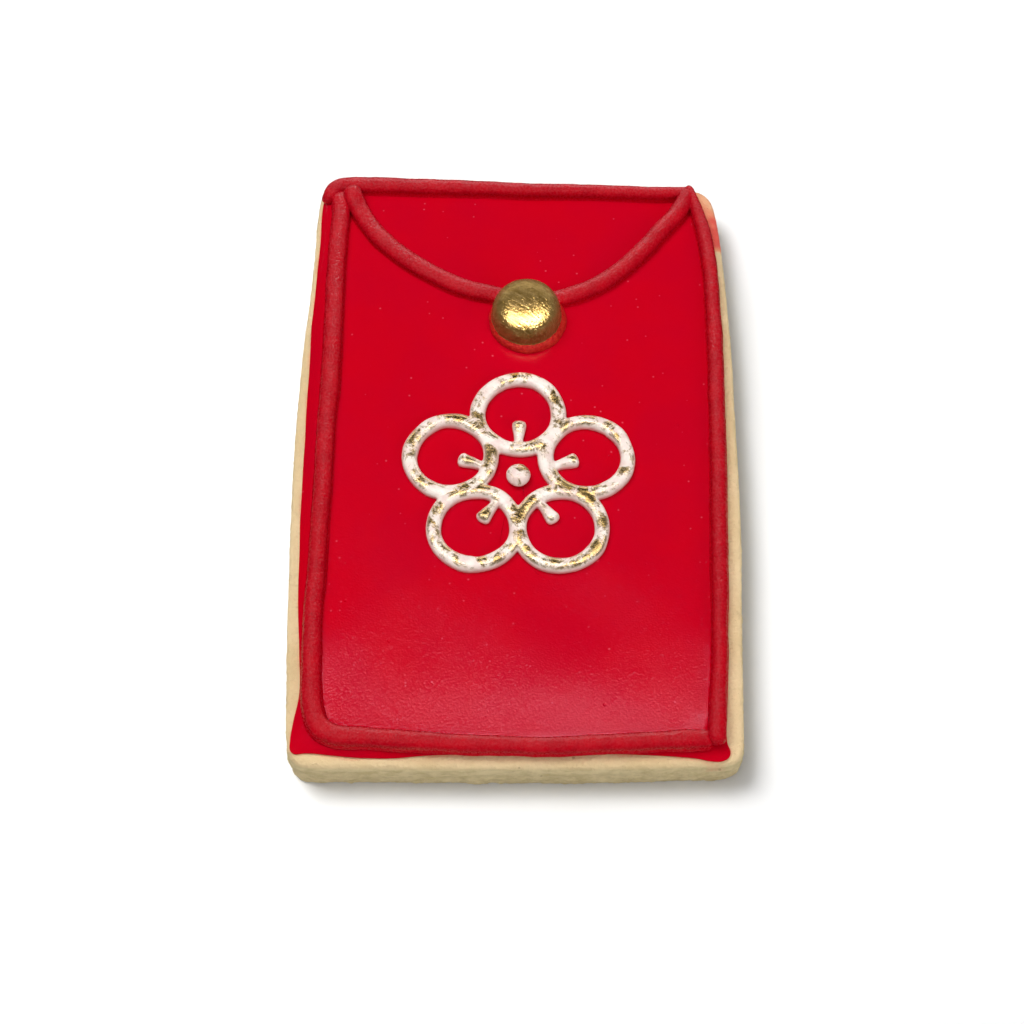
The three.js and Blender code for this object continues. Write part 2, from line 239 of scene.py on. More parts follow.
def ripple(places, size, octaves=1, offset=(0.0, 0.0, 0.0)):
    """Smooth noise between about -1 and 1 at each place; size is that of its waves, in mm."""
    size = np.broadcast_to(np.asarray(size, float), (3,))
    scaled = (np.asarray(places, float) + np.asarray(offset, float)) / size
    if octaves == 1:
        return np.array([noise.noise(Vector(p)) for p in scaled])
    return np.array([noise.fractal(Vector(p), 1.0, 2.0, octaves) for p in scaled])


def cells(places, size):
    """Distance to the nearest of points scattered about one cell apart, 0 at a point."""
    return np.array([noise.voronoi(Vector(p))[0][0] for p in np.asarray(places, float) / size])


def ramp(values, start, width):
    """Goes from 0 to 1 while the values go through a width from a start."""
    return np.clip((values - start) / width, 0.0, 1.0)


def wrapped_sheet(around, along, place):
    """A closed skin: a flat grid wrapped round a piece.

    place gets the grid's column and row numbers and gives points in mm."""
    skin = bmesh.new()
    bmesh.ops.create_grid(skin, x_segments=around, y_segments=along, size=0.5)
    flat = np.array([vertex.co[:2] for vertex in skin.verts]) + 0.5
    columns = np.rint(flat[:, 0] * around).astype(int)
    rows = np.rint(flat[:, 1] * along).astype(int)
    for vertex, point in zip(skin.verts, place(columns, rows)):
        vertex.co = point
    bmesh.ops.remove_doubles(skin, verts=skin.verts, dist=1e-4)
    bmesh.ops.recalc_face_normals(skin, faces=skin.faces)
    return skin


def finished(name, skin, finish, node):
    """Makes a piece of the cookie from its skin in mm: smooth, in metres, in its finish, for a CAD node."""
    bmesh.ops.scale(skin, vec=(MM, MM, MM), verts=skin.verts)
    mesh = bpy.data.meshes.new(name)
    skin.to_mesh(mesh)
    skin.free()
    piece = bpy.data.objects.new(name, mesh)
    bpy.context.scene.collection.objects.link(piece)
    mesh.shade_smooth()
    mesh.materials.append(finish)
    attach(piece, "root")
    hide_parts(node)


def points_of(skin):
    return np.array([vertex.co[:] for vertex in skin.verts])


def normals_of(skin):
    skin.normal_update()
    return np.array([vertex.normal[:] for vertex in skin.verts])


def move_out(skin, amounts):
    """Moves each vertex along its normal."""
    normals = normals_of(skin)
    for vertex, normal, amount in zip(skin.verts, normals, amounts):
        vertex.co = vertex.co + Vector(normal * amount)


def slab(outline_points, around, profile, shares):
    """A flat piece with the given side profile, from the middle of its underside to the middle of its top.

    The profile is a list of (distance in from the outline, level). Rings inside it follow its first and last
    ones at shares of the way to the piece's spine, and close on its middle."""
    outline = curve_through(outline_points, around, closed=True)[:, :2]
    heading = headings(outline, closed=True)
    inward = np.stack([-heading[:, 1], heading[:, 0]], axis=1)
    spine = np.stack([np.zeros(around), np.clip(outline[:, 1], -SPINE_REACH, SPINE_REACH)], axis=1)

    def rings_inside(inset, level):
        edge = outline + inward * inset
        rings = [edge + (spine - edge) * share for share in shares]
        rings += [rings[-1] * share for share in (0.66, 0.33, 0.0)]
        return [np.column_stack([ring, np.full(around, level)]) for ring in rings]

    rows = rings_inside(*profile[0])[::-1]
    rows += [np.column_stack([outline + inward * inset, np.full(around, level)]) for inset, level in profile]
    rows += rings_inside(*profile[-1])
    table = np.array(rows)
    return wrapped_sheet(around, len(rows) - 1, lambda column, row: table[row, column % around])


def distance_to(outline_points, points, fineness=3000):
    """Distance of each point from an outline, seen from above."""
    outline = curve_through(outline_points, fineness, closed=True)[:, :2]
    parts = np.array_split(points[:, :2], max(1, len(points) // 500))
    gaps = [np.linalg.norm(part[:, None] - outline[None], axis=2) for part in parts]
    return np.concatenate([np.min(gap, axis=1) for gap in gaps])


def rounded_edge(radius, top, steps):
    """The quarter turn from a side up to a top, as (distance in, level)."""
    turns = [k / steps * math.pi / 2 for k in range(steps + 1)]
    return [(radius * (1 - math.cos(turn)), top - radius * (1 - math.sin(turn))) for turn in turns]


# ------------------------------------------------------------------ finishes


def new_finish(name):
    """A material with its node tree, its shader and the Object coordinates in mm."""
    finish = bpy.data.materials.new(name)
    finish.use_nodes = True
    tree = finish.node_tree
    shader = tree.nodes["Principled BSDF"]
    where = tree.nodes.new("ShaderNodeTexCoord").outputs["Object"]
    return finish, tree, shader, where


def put(tree, socket, value):
    """Links a node's output to a socket, or sets the socket to a number or a colour."""
    if isinstance(value, bpy.types.NodeSocket):
        tree.links.new(value, socket)
    elif isinstance(value, (tuple, list)) and len(value) == 3 and socket.type == "RGBA":
        socket.default_value = (*value, 1.0)
    else:
        socket.default_value = value


def waves(tree, where, size, detail=2.0, roughness=0.5, distortion=0.0, stretch=(1.0, 1.0, 1.0), turn=0.0):
    """Noise from 0 to 1 with waves of a size in mm, stretched along the axes after a turn about z."""
    mapping = tree.nodes.new("ShaderNodeMapping")
    mapping.vector_type = "TEXTURE"
    put(tree, mapping.inputs["Vector"], where)
    mapping.inputs["Rotation"].default_value = (0.0, 0.0, turn)
    mapping.inputs["Scale"].default_value = tuple(MM * size * s for s in stretch)
    texture = tree.nodes.new("ShaderNodeTexNoise")
    put(tree, texture.inputs["Vector"], mapping.outputs["Vector"])
    texture.inputs["Scale"].default_value = 1.0
    texture.inputs["Detail"].default_value = detail
    texture.inputs["Roughness"].default_value = roughness
    texture.inputs["Distortion"].default_value = distortion
    return texture.outputs["Fac"]


def spots(tree, where, size, offset=0.0):
    """Distance from points scattered about a size in mm apart, 0 at a point."""
    mapping = tree.nodes.new("ShaderNodeMapping")
    put(tree, mapping.inputs["Vector"], where)
    mapping.inputs["Location"].default_value = (offset, offset, offset)
    mapping.inputs["Scale"].default_value = (1.0 / (MM * size),) * 3
    texture = tree.nodes.new("ShaderNodeTexVoronoi")
    put(tree, texture.inputs["Vector"], mapping.outputs["Vector"])
    texture.inputs["Scale"].default_value = 1.0
    return texture.outputs["Distance"]


def fade(tree, value, start, end, low=0.0, high=1.0):
    """Goes smoothly from low to high while a value goes from start to end."""
    span = tree.nodes.new("ShaderNodeMapRange")
    span.interpolation_type = "SMOOTHSTEP"
    for name, amount in (
        ("Value", value),
        ("From Min", start),
        ("From Max", end),
        ("To Min", low),
        ("To Max", high),
    ):
        put(tree, span.inputs[name], amount)
    return span.outputs["Result"]


def maths(tree, operation, first, second, clamp=False):
    """Result of a sum, difference or product."""
    node = tree.nodes.new("ShaderNodeMath")
    node.operation = operation
    node.use_clamp = clamp
    put(tree, node.inputs[0], first)
    put(tree, node.inputs[1], second)
    return node.outputs["Value"]


def mixed(tree, share, low, high, blend="MIX"):
    """Colour between low and high by a share from 0 to 1."""
    node = tree.nodes.new("ShaderNodeMix")
    node.data_type = "RGBA"
    node.blend_type = blend
    factor = next(s for s in node.inputs if s.name == "Factor" and s.type == "VALUE")
    first = next(s for s in node.inputs if s.name == "A" and s.type == "RGBA")
    second = next(s for s in node.inputs if s.name == "B" and s.type == "RGBA")
    put(tree, factor, share)
    put(tree, first, low)
    put(tree, second, high)
    return next(s for s in node.outputs if s.type == "RGBA")


def between(tree, share, low, high):
    """Value between low and high by a share from 0 to 1."""
    return maths(tree, "ADD", maths(tree, "MULTIPLY", share, maths(tree, "SUBTRACT", high, low)), low)


def relief(tree, shader, height, distance, strength=1.0):
    """Gives the shader fine relief, distance mm deep."""
    bump = tree.nodes.new("ShaderNodeBump")
    bump.inputs["Strength"].default_value = strength
    bump.inputs["Distance"].default_value = distance * MM
    put(tree, bump.inputs["Height"], height)
    put(tree, shader.inputs["Normal"], bump.outputs["Normal"])


def attribute(tree, name):
    """A value kept on the piece's vertices."""
    kept = tree.nodes.new("ShaderNodeAttribute")
    kept.attribute_name = name
    return kept.outputs["Fac"]


def axis_of(tree, where, axis):
    """One coordinate, in metres."""
    split = tree.nodes.new("ShaderNodeSeparateXYZ")
    put(tree, split.inputs["Vector"], where)
    return split.outputs[axis]


def shade(code):
    """Linear colour of a screen colour from 0 to 255."""
    return tuple(
        v / 255 / 12.92 if v <= 10 else ((v / 255 + 0.055) / 1.055) ** 2.4 for v in code
    )


# ------------------------------------------------------------------ what a user would change


class CookieShape(bpy.types.PropertyGroup):
    """Sizes of the cookie's pieces."""

    crumb_depth: FloatProperty(
        name="Crumb depth",
        description="How deep the crumbly side of the dough is, in mm",
        default=0.26,
        min=0.0,
        max=1.0,
    )
    piping_unevenness: FloatProperty(
        name="Piping unevenness",
        description="How far a piped line's width wanders, as a share of the width",
        default=0.05,
        min=0.0,
        max=0.3,
        subtype="FACTOR",
    )
    blossom_line_width: FloatProperty(
        name="Blossom line width",
        description="Width of the piped petals, in mm",
        default=2.2,
        min=1.0,
        max=4.0,
    )
    blossom_fineness: FloatProperty(
        name="Blossom fineness",
        description="Size of the blossom's facets, in mm",
        default=0.17,
        min=0.1,
        max=0.5,
    )


def colour(name, description, default):
    """A colour that a user can change."""
    return FloatVectorProperty(
        name=name, description=description, subtype="COLOR", size=3, min=0.0, max=1.0, default=default
    )


class CookieColours(bpy.types.PropertyGroup):
    """Colours of the cookie's finishes."""

    dough: colour("Dough", "Pale top of the baked dough", shade((240, 213, 168)))
    dough_side: colour("Dough side", "Crumbly side of the baked dough", shade((236, 216, 170)))
    icing: colour("Icing", "Sheet of red icing", (0.505, 0.0, 0.0085))
    piping: colour("Piping", "Piped red lines", shade((180, 5, 24)))
    gold: colour("Gold", "Gold lustre on the button and the blossom", (0.55, 0.37, 0.14))
    white_icing: colour("White icing", "White icing of the blossom", shade((240, 228, 218)))


class CookiePiece:
    """What the cookie's operators share."""

    bl_options = {"REGISTER", "UNDO"}

    def shape(self, context):
        return context.scene.cookie_shape

    def colours(self, context):
        return context.scene.cookie_colours


# ------------------------------------------------------------------ dough


def dough_finish(colours):
    """Pale baked dough: a cream top, a darker, layered side with crumbs, and a red stain beside the icing."""
    finish, tree, shader, where = new_finish("baked_dough")
    level = axis_of(tree, where, "Z")
    clouds = waves(tree, where, 9.0, detail=3.0, roughness=0.6)
    grain = waves(tree, where, 0.5, detail=4.0, roughness=0.7)
    crumbs = waves(tree, where, 1.3, detail=3.0, roughness=0.6, stretch=(1.6, 1.6, 0.8))
    layers = waves(tree, where, 0.7, detail=4.0, roughness=0.7, stretch=(4.0, 4.0, 0.6))
    browner_top = shade((229, 201, 153))
    browner_side = shade((212, 192, 142))
    crease_dark = shade((168, 146, 98))
    grain_brown = shade((170, 146, 98))
    grain_pale = shade((246, 230, 196))
    speck_brown = shade((140, 104, 60))
    top = mixed(tree, fade(tree, clouds, 0.3, 0.7), tuple(colours.dough), browner_top)
    side = mixed(tree, fade(tree, crumbs, 0.3, 0.68), browner_side, tuple(colours.dough_side))
    # The side is darker in the low creases between its layers, where its relief dips.
    side = mixed(tree, fade(tree, layers, 0.42, 0.3, 0.0, 0.3), side, crease_dark)
    base = mixed(tree, fade(tree, level, 5.1 * MM, 6.3 * MM), side, top)
    base = mixed(tree, fade(tree, grain, 0.62, 0.8, 0.0, 0.35), base, grain_brown)
    base = mixed(tree, fade(tree, grain, 0.36, 0.24, 0.0, 0.4), base, grain_pale)
    specks = spots(tree, where, 3.1, 5.0)
    base = mixed(tree, fade(tree, specks, 0.09, 0.045, 0.0, 0.5), base, speck_brown)
    stain = attribute(tree, "stain")
    coral = mixed(tree, fade(tree, stain, 0.3, 0.8), shade((240, 156, 118)), shade((226, 70, 66)))
    base = mixed(tree, fade(tree, stain, 0.05, 0.4, 0.0, 0.92), base, coral)
    put(tree, shader.inputs["Base Color"], base)
    shader.inputs["Roughness"].default_value = 0.85
    shader.inputs["Specular IOR Level"].default_value = 0.25
    creases = maths(tree, "MULTIPLY", layers, fade(tree, level, 4.6 * MM, 6.0 * MM, 2.0, 0.0))
    height = maths(tree, "ADD", maths(tree, "ADD", grain, maths(tree, "MULTIPLY", crumbs, 1.2)), creases)
    relief(tree, shader, height, 0.45, 0.9)
    return finish


class COOKIE_OT_bake_dough(CookiePiece, bpy.types.Operator):
    """Bakes the dough: a thick slab with a soft upper edge, a crumbly side and a flat underside"""

    bl_idname = "cookie.bake_dough"
    bl_label = "Bake the dough"

    def execute(self, context):
        around = 1280
        side = [(0.0, DOUGH_SIDE_START + DOUGH_SIDE_STEP * k) for k in range(DOUGH_SIDE_ROWS)]
        upper_edge = rounded_edge(DOUGH_EDGE_RADIUS, DOUGH_TOP, 6)
        shares = [0.009 * k for k in range(1, 13)] + [0.2, 0.4, 0.65, 0.9]
        skin = slab(DOUGH_OUTLINE, around, [*DOUGH_FOOT, *side, *upper_edge], shares)
        points = points_of(skin)
        normals = normals_of(skin)
        depth = self.shape(context).crumb_depth
        level = points[:, 2]
        on_side = np.clip(1.0 - np.abs(normals[:, 2]), 0.0, 1.0)
        on_top = np.clip(normals[:, 2], 0.0, 1.0) * (level > 4.0)
        ridges = ripple(points, (2.6, 2.6, 0.8), octaves=3)
        crumbs = ripple(points, (0.9, 0.9, 0.6), octaves=2, offset=(7.0, 3.0, 1.0))
        pits = np.clip(0.22 - cells(points, (1.7, 1.7, 1.2)), 0.0, 1.0) * 4.0
        swell = ripple(points, (14.0, 14.0, 30.0))
        bulge = 0.12 * np.sin(np.clip(level / DOUGH_TOP, 0.0, 1.0) * math.pi)
        below_edge = 0.25 + 0.75 * np.clip((5.3 - level) / 1.5, 0.0, 1.0)
        rough_side = depth * below_edge * (ridges + 0.6 * crumbs - 0.5 * pits) + 0.1 * swell + bulge
        rough_top = 0.06 * ripple(points, 0.9, octaves=2, offset=(1.0, 9.0, 4.0)) + 0.06 * ripple(points, 5.0)
        move_out(skin, on_side * rough_side + on_top * rough_top)
        stained = skin.verts.layers.float.new("stain")
        for vertex, share in zip(skin.verts, self.stain(points)):
            vertex[stained] = share
        finished("baked_dough", skin, dough_finish(self.colours(context)), "cookie")
        return {"FINISHED"}

    def stain(self, points):
        """Share of red in the dough: a little beside the icing, and a patch at the upper right corner."""
        share = np.zeros(len(points))
        upper = np.flatnonzero(points[:, 2] > 0.6 * DOUGH_TOP)
        bleed = np.clip(1 - distance_to(ICING_OUTLINE, points[upper], 800) / 0.8, 0.0, 1.0) ** 2
        share[upper] = 0.35 * bleed * np.clip(0.5 + 1.6 * ripple(points[upper], 3.5), 0.0, 1.0)
        x, y = points[:, 0], points[:, 1]
        corner = ramp(x, 25.5, 1.5) * ramp(y, 35.5, 2.0)
        deep = ramp(x, 28.4, 1.0) * ramp(y, 36.0, 2.0) * ramp(-y, -44.5, 2.5)
        faint = 0.36 + 0.2 * ripple(points, 2.0)
        strong = 0.36 + 0.5 * ripple(points, 1.8, offset=(2.0, 2.0, 2.0))
        patch = (corner * faint + deep * strong) * (points[:, 2] > 0.5 * DOUGH_TOP)
        return np.clip(np.maximum(share, patch), 0.0, 1.0)


# ------------------------------------------------------------------ icing


def icing_finish(colours):
    """Smooth red sugar icing with a soft sheen, a fine grain, tiny bubbles and pits."""
    finish, tree, shader, where = new_finish("red_icing")
    clouds = waves(tree, where, 11.0, detail=3.0, roughness=0.55)
    fine = waves(tree, where, 0.45, detail=3.0, roughness=0.6)
    red = tuple(colours.icing)
    deeper_red = (0.475, 0.0, 0.011)
    brighter_red = (0.55, 0.002, 0.018)
    bubble_pink = shade((232, 120, 140))
    base = mixed(tree, fade(tree, clouds, 0.3, 0.7), red, deeper_red)
    base = mixed(tree, fade(tree, fine, 0.55, 0.8, 0.0, 0.3), base, brighter_red)
    bubbles = spots(tree, where, 2.3, 2.0)
    base = mixed(tree, fade(tree, bubbles, 0.09, 0.03, 0.0, 0.3), base, bubble_pink)
    put(tree, shader.inputs["Base Color"], base)
    shader.inputs["Roughness"].default_value = 0.08
    shader.inputs["Specular IOR Level"].default_value = 0.1
    shader.inputs["Specular Tint"].default_value = (1.0, 0.72, 0.95, 1.0)
    ripples = maths(tree, "MULTIPLY", waves(tree, where, 4.0, detail=1.0), 0.01)
    grain = maths(tree, "MULTIPLY", waves(tree, where, 0.3, detail=2.0), 0.026)
    pits = spots(tree, where, 5.7, 9.0)
    dents = fade(tree, pits, 0.055, 0.02, 0.0, -0.05)
    height = maths(tree, "ADD", ripples, maths(tree, "ADD", grain, dents))
    relief(tree, shader, height, 1.0)
    return finish


class COOKIE_OT_spread_icing(CookiePiece, bpy.types.Operator):
    """Spreads the sheet of red icing, with a soft edge and a gently uneven top"""

    bl_idname = "cookie.spread_icing"
    bl_label = "Spread the icing"

    def execute(self, context):
        around = 1000
        sunk = DOUGH_TOP - ICING_SINK
        lip = DOUGH_TOP + ICING_LIP
        edge = [(0.35, sunk), (0.12, DOUGH_TOP + 0.05), (0.03, DOUGH_TOP + 0.5 * ICING_LIP), (0.02, lip)]
        rings = 44
        shares = [0.9 * (k / rings) ** 2 for k in range(1, rings + 1)]
        skin = slab(ICING_OUTLINE, around, edge, shares)
        sheet = [vertex for vertex in skin.verts if vertex.co.z > lip - 0.001]
        points = np.array([vertex.co[:] for vertex in sheet])
        steep = 1 - np.clip(distance_to(ICING_OUTLINE, points) / ICING_MARGIN, 0.0, 1.0)
        fullness = np.ones(len(points))
        for corner in LOW_CORNERS:
            reach = np.linalg.norm(points[:, :2] - corner, axis=1) / CORNER_REACH
            fullness *= 1 - CORNER_DROOP * np.clip(1 - reach, 0.0, 1.0)
        lie = ICING_UNEVENNESS * (1 - steep) * ripple(points, (14.0, 12.0, 30.0))
        rise = (ICING_TOP - lip) * (1 - steep**2) + lie
        for vertex, level in zip(sheet, lip + rise * fullness):
            vertex.co.z = level
        for _ in range(8):
            bmesh.ops.smooth_vert(skin, verts=sheet, factor=0.5, use_axis_z=True)
        on_side = 1.0 - np.abs(normals_of(skin)[:, 2])
        move_out(skin, 0.16 * on_side * ripple(points_of(skin), (5.0, 5.0, 30.0), offset=(9.0, 1.0, 0.0)))
        finished("red_icing", skin, icing_finish(self.colours(context)), "icing")
        return {"FINISHED"}


# ------------------------------------------------------------------ piped lines


def piping_finish(colours):
    """Piped red icing that has dried dull, with a fine sugary grain that breaks up its shine, and the sheet's
    red painted into its foot so the shade there comes out saturated.
    """
    finish, tree, shader, where = new_finish("piped_red_icing")
    grain = waves(tree, where, 0.36, detail=2.0, roughness=0.6)
    clouds = waves(tree, where, 3.0, detail=3.0, roughness=0.6)
    dark_red = shade((166, 3, 22))
    sugary_red = shade((204, 34, 52))
    shaded_red = shade((140, 2, 16))
    base = mixed(tree, fade(tree, clouds, 0.3, 0.7), tuple(colours.piping), dark_red)
    base = mixed(tree, fade(tree, grain, 0.5, 0.75, 0.0, 0.3), base, sugary_red)
    base = mixed(tree, fade(tree, grain, 0.42, 0.28, 0.0, 0.08), base, shaded_red)
    level = axis_of(tree, where, "Z")
    # Painted shade colour: the lowest part of the line takes the sheet's red, so the shade in the crevice at
    # its foot comes out saturated red, standing in for red light bounced off the sheet.
    foot_tint = fade(tree, level, (ICING_TOP + 0.85) * MM, (ICING_TOP + 0.25) * MM, 0.0, 0.9)
    base = mixed(tree, foot_tint, base, tuple(colours.icing))
    put(tree, shader.inputs["Base Color"], base)
    put(tree, shader.inputs["Roughness"], fade(tree, grain, 0.3, 0.7, 0.22, 0.34))
    shader.inputs["Specular IOR Level"].default_value = 0.22
    relief(tree, shader, grain, 0.14, 0.9)
    return finish


def cross_section():
    """Round a piped line: across, as a share of its half width; up, from belly to crown; down, to the foot.

    Down is 1 at the foot, and 2 on the flat underside, which is sunk in what the line lies on."""
    crown, side, below = 18, 6, 2
    turns = np.linspace(0.0, math.pi, crown + 1)
    power = 2 / CROWN_SQUARENESS
    across = [math.copysign(abs(math.cos(turn)) ** power, math.cos(turn)) for turn in turns]
    arch = [(x, max(0.0, math.sin(turn)) ** power, 0.0) for x, turn in zip(across, turns)]
    left = [(-1.0, 0.0, k / side) for k in range(1, side + 1)]
    bottom = [(-1.0 + 2.0 * k / (below + 1), 0.0, 2.0) for k in range(1, below + 1)]
    right = [(1.0, 0.0, k / side) for k in range(side, 0, -1)]
    return np.array([*arch, *left, *bottom, *right])


def piped_line(route, unevenness, seed, step=0.22, rough=0.03, sink=PIPING_SINK, foot=FILLET):
    """A line of piped icing laid along a route of (x, y, width, height, lift), with round ends.

    rough is the height of its lumps, sink how deep its underside lies, foot how far its fillet spreads."""
    section = cross_section()
    around = len(section)
    length = float(np.sum(np.linalg.norm(np.diff(np.array(route)[:, :2], axis=0), axis=1)))
    along = max(8, round(length / step))
    line = curve_through(route, along + 1)
    heading = headings(line)
    aside = np.stack([heading[:, 1], -heading[:, 0]], axis=1)
    run = np.linspace(0.0, length, along + 1)
    here = np.column_stack([run, np.full(along + 1, seed), np.zeros(along + 1)])
    wander = ripple(here, (3.2, 1.0, 1.0))
    snake = ripple(here, (6.0, 1.0, 1.0), offset=(0.0, 5.5, 0.0))
    half = line[:, 2] / 2 * (1 + unevenness * wander)
    height = line[:, 3] * (1 + 0.6 * unevenness * wander)
    end_reach = np.minimum(run, length - run) / (0.85 * half)
    cap = np.sqrt(np.clip(1 - (1 - np.clip(end_reach, 0.0, 1.0)) ** 2, 0.0, 1.0))
    middle = line[:, :2] + aside * (0.1 * snake)[:, None]
    fillet = foot * np.clip(1 - line[:, 4] / 0.3, 0.0, 1.0)

    def place(column, row):
        across, up, down = section[column % around].T
        belly = BELLY_SHARE * height[row]
        flank = belly * (1 - np.minimum(down, 1.0) * 1.1)
        level = np.where(up > 0, belly + up * (height[row] - belly), flank)
        level = np.where(down > 1, -sink, level)
        spread = fillet[row] * np.clip(1 - level / FILLET_RISE, 0.0, 1.2) ** 2 * (up == 0) * (down <= 1)
        level = belly + (level - belly) * cap[row] - (1 - cap[row]) * 0.2 * height[row]
        out = aside[row] * ((across * half[row] + np.sign(across) * spread) * cap[row])[:, None]
        return np.column_stack([middle[row] + out, ICING_TOP + line[row, 4] + level])

    skin = wrapped_sheet(around, along, place)
    points = points_of(skin)
    grain = ripple(points, 0.55, octaves=2) * rough
    lumps = ripple(points, 1.6, offset=(4.0, 4.0, 4.0)) * rough
    move_out(skin, grain + lumps)
    return skin


class COOKIE_OT_pipe_seams(CookiePiece, bpy.types.Operator):
    """Pipes the envelope's seams and the two edges of its flap"""

    bl_idname = "cookie.pipe_seams"
    bl_label = "Pipe the seams and the flap"

    def execute(self, context):
        finish = piping_finish(self.colours(context))
        unevenness = self.shape(context).piping_unevenness
        names = (
            ("seam_left_and_bottom", "rim_left_bottom"),
            ("seam_top", "rim_top"),
            ("seam_right", "rim_right"),
            ("flap_edge_left", "flap_left"),
            ("flap_edge_right", "flap_right"),
        )
        for seed, ((name, node), route) in enumerate(zip(names, PIPING_LINES)):
            skin = piped_line(route, unevenness, 3.7 * seed)
            finished(name, skin, finish, node)
        return {"FINISHED"}


# ------------------------------------------------------------------ button


def gold_lustre(tree, where, colours):
    """Colour, roughness and relief of gold lustre laid on with a dry brush."""
    brushing = math.radians(-32)
    streaks = waves(tree, where, 0.5, detail=4.0, roughness=0.65, stretch=(5.0, 0.6, 1.5), turn=brushing)
    patches = waves(tree, where, 2.4, detail=3.0, roughness=0.6, distortion=0.6)
    gold = tuple(colours.gold)
    dark = tuple(c * s for c, s in zip(gold, (0.6, 0.56, 0.42)))
    bright = tuple(min(1.0, c * s) for c, s in zip(gold, (1.35, 1.45, 1.9)))
    tone = mixed(tree, fade(tree, patches, 0.3, 0.7), dark, gold)
    tone = mixed(tree, fade(tree, streaks, 0.45, 0.75, 0.0, 0.6), tone, bright)
    rough = fade(tree, streaks, 0.3, 0.7, 0.14, 0.26)
    return tone, rough, streaks


def button_finish(colours):
    """A sugar dome brushed with gold from above; its foot is left red."""
    finish, tree, shader, where = new_finish("gilded_sugar")
    tone, rough, streaks = gold_lustre(tree, where, colours)
    worn = waves(tree, where, 0.5, detail=3.0, roughness=0.7)
    wear = maths(tree, "MULTIPLY", maths(tree, "SUBTRACT", worn, 0.5), 0.5)
    gilded = fade(tree, maths(tree, "ADD", attribute(tree, "gilding"), wear), 0.42, 0.58)
    red = mixed(tree, fade(tree, worn, 0.35, 0.65), shade((186, 8, 16)), shade((204, 44, 32)))
    muted_gold = mixed(tree, 1.0, tone, (0.56, 0.53, 0.45), blend="MULTIPLY")
    put(tree, shader.inputs["Base Color"], mixed(tree, gilded, red, muted_gold))
    put(tree, shader.inputs["Metallic"], maths(tree, "MULTIPLY", gilded, 0.5))
    put(tree, shader.inputs["Roughness"], between(tree, gilded, 0.6, rough))
    shader.inputs["Specular IOR Level"].default_value = 0.03
    grain = waves(tree, where, 0.3, detail=2.0)
    nicks = fade(tree, spots(tree, where, 0.8), 0.3, 0.08, 0.0, -0.5)
    height = maths(tree, "ADD", maths(tree, "ADD", streaks, nicks), maths(tree, "MULTIPLY", grain, 0.7))
    relief(tree, shader, height, 0.13, 0.6)
    return finish


class COOKIE_OT_set_button(CookiePiece, bpy.types.Operator):
    """Sets the gold button on the lowest point of the flap"""

    bl_idname = "cookie.set_button"
    bl_label = "Set the gold button"

    def execute(self, context):
        skin = bmesh.new()
        rise = BUTTON_DOME_HEIGHT - BUTTON_DOME_LEVEL
        rings = 48
        power = 2 / BUTTON_SQUARENESS
        profile = list(BUTTON_FOOT_PROFILE)
        for k in range(rings + 1):
            turn = k / rings * math.pi / 2
            radius = BUTTON_DOME_RADIUS * math.cos(turn) ** power if k < rings else 0.0
            profile.append((radius, BUTTON_DOME_LEVEL + rise * math.sin(turn) ** power))
        corners = [skin.verts.new((r, 0.0, z)) for r, z in profile]
        edges = [skin.edges.new(pair) for pair in zip(corners, corners[1:])]
        bmesh.ops.spin(
            skin,
            geom=[*corners, *edges],
            axis=(0, 0, 1),
            cent=(0, 0, 0),
            steps=180,
            angle=2 * math.pi,
            use_merge=True,
        )
        bmesh.ops.remove_doubles(skin, verts=skin.verts, dist=1e-3)
        bmesh.ops.recalc_face_normals(skin, faces=skin.faces)
        for vertex in skin.verts:
            up = min(1.0, max(0.0, vertex.co.z / BUTTON_DOME_LEVEL))
            on_dome = max(0.0, vertex.co.z - BUTTON_DOME_LEVEL) / rise
            vertex.co.z += on_dome * vertex.co.y * math.tan(BUTTON_LEAN)
            vertex.co.x += BUTTON_FOOT_CENTRE[0] * (1 - up) + BUTTON_DOME_CENTRE[0] * up
            vertex.co.y += BUTTON_FOOT_CENTRE[1] * (1 - up) + BUTTON_DOME_CENTRE[1] * up
            vertex.co.z += ICING_TOP
        points = points_of(skin)
        low = np.clip(1 - (points[:, 2] - ICING_TOP) / 2.2, 0.0, 1.0)
        lumps = 0.05 * ripple(points, 2.6) + 0.012 * ripple(points, 0.7)
        foot = 0.12 * low * ripple(points, 1.6, octaves=2, offset=(5.0, 5.0, 5.0))
        move_out(skin, lumps + foot)
        gilding = skin.verts.layers.float.new("gilding")
        for vertex, share in zip(skin.verts, ramp(points_of(skin)[:, 2], ICING_TOP + 1.2, 0.5)):
            vertex[gilding] = share
        finished("gold_button_dome", skin, button_finish(self.colours(context)), "gold_button")
        return {"FINISHED"}


# ------------------------------------------------------------------ blossom


